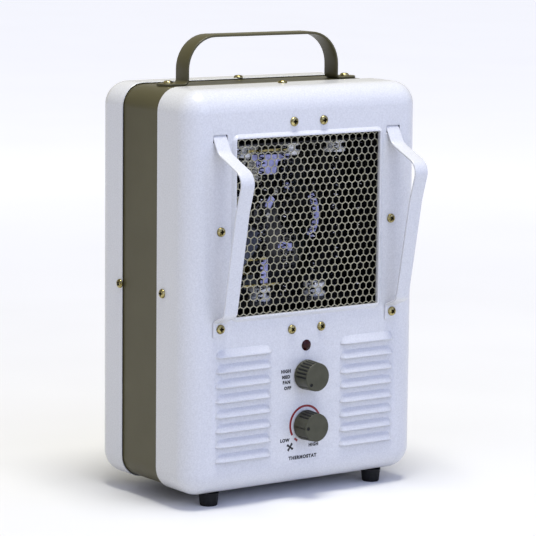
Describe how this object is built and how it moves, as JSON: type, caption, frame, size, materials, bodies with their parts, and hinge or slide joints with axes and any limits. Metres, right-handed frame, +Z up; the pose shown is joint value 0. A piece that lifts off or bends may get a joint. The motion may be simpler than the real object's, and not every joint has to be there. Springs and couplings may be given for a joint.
{
  "type": "space heater",
  "caption": "Portable fan-forced heater in a rounded steel case with a strap handle, honeycomb outlet, bent guard straps, mode and thermostat knobs and rubber feet.",
  "frame": {"origin": "centre of the bounding box in plan, on the floor under the feet", "axes": "+X to the right as the user faces the outlet, +Y from the outlet to the back, +Z up"},
  "size_m": [0.2546, 0.1956, 0.4064],
  "materials": {
    "white_paint": "white powder coat, semi-gloss with a fine orange peel",
    "taupe_paint": "taupe enamel, semi-gloss",
    "yellow_zinc": "yellow zinc-plated steel, bright",
    "grille_paint": "pale beige paint on expanded steel",
    "galvanised_sheet": "galvanised sheet steel",
    "white_ceramic": "glazed white steatite",
    "resistance_wire": "oxidised resistance wire, dark grey",
    "black_phenolic": "black moulded phenolic",
    "fan_aluminium": "stamped aluminium, satin",
    "steel": "turned steel, satin",
    "lamination_steel": "varnished steel laminations",
    "winding_tape": "yellow insulating tape over copper winding",
    "bronze": "sintered bronze",
    "rear_guard_wire": "taupe coated wire",
    "taupe_plastic": "taupe moulded plastic, satin",
    "red_lens": "dark red translucent lens",
    "lead_sleeve": "red silicone lead sleeve",
    "black_rubber": "black moulded rubber, matt"
  },
  "bodies": {
    "casing": {"front_shell": "white_paint", "rear_shell": "white_paint", "centre_band": "taupe_paint", "carry_handle": "taupe_paint", "handle_screws": "yellow_zinc", "guard_bar_left": "white_paint", "guard_bar_right": "white_paint", "guard_screws": "yellow_zinc", "grille_screws": "yellow_zinc", "shell_screws": "yellow_zinc", "outlet_grille": "grille_paint", "element_duct": "galvanised_sheet", "element_frame": "galvanised_sheet", "ceramic_insulators": "white_ceramic", "heating_coils": "resistance_wire", "thermal_cutout": "black_phenolic", "fan_shroud": "galvanised_sheet", "control_shelf": "galvanised_sheet", "motor_stator": "lamination_steel", "motor_coil": "winding_tape", "motor_bearings": "bronze", "motor_bracket": "galvanised_sheet", "rear_guard": "rear_guard_wire", "mode_switch_body": "black_phenolic", "mode_switch_nut": "steel", "thermostat_body": "black_phenolic", "thermostat_nut": "steel", "pilot_lens": "red_lens", "pilot_lamp": "black_phenolic", "terminal_block": "white_ceramic", "tip_switch_case": "black_phenolic", "internal_leads": "lead_sleeve", "cord_gland": "black_phenolic", "feet": "black_rubber", "foot_screws": "yellow_zinc"},
    "mode_control": {"mode_knob": "taupe_plastic", "mode_switch_shaft": "steel"},
    "thermostat_control": {"thermostat_knob": "taupe_plastic", "thermostat_shaft": "steel"},
    "fan": {"fan_blade": "fan_aluminium", "motor_shaft": "steel", "motor_rotor": "steel"},
    "tip_lever": {"tip_pendulum": "steel"}
  },
  "joints": [
    {"name": "mode_knob_turn", "type": "hinge", "parent": "casing", "child": "mode_control", "pos_m": [0, -0.05575, 0.1102], "axis": [0, 1, 0], "range_deg": [0, 54]},
    {"name": "thermostat_knob_turn", "type": "hinge", "parent": "casing", "child": "thermostat_control", "pos_m": [0, -0.05575, 0.0651], "axis": [0, 1, 0], "range_deg": [-48, 240]},
    {"name": "fan_spin", "type": "hinge", "parent": "casing", "child": "fan", "pos_m": [0, 0.01525, 0.2445], "axis": [0, -1, 0], "continuous": true},
    {"name": "tip_lever_swing", "type": "hinge", "parent": "casing", "child": "tip_lever", "pos_m": [0.06, 0.03125, 0.0463], "axis": [0, 1, 0], "range_deg": [-16, 16]}
  ]
}
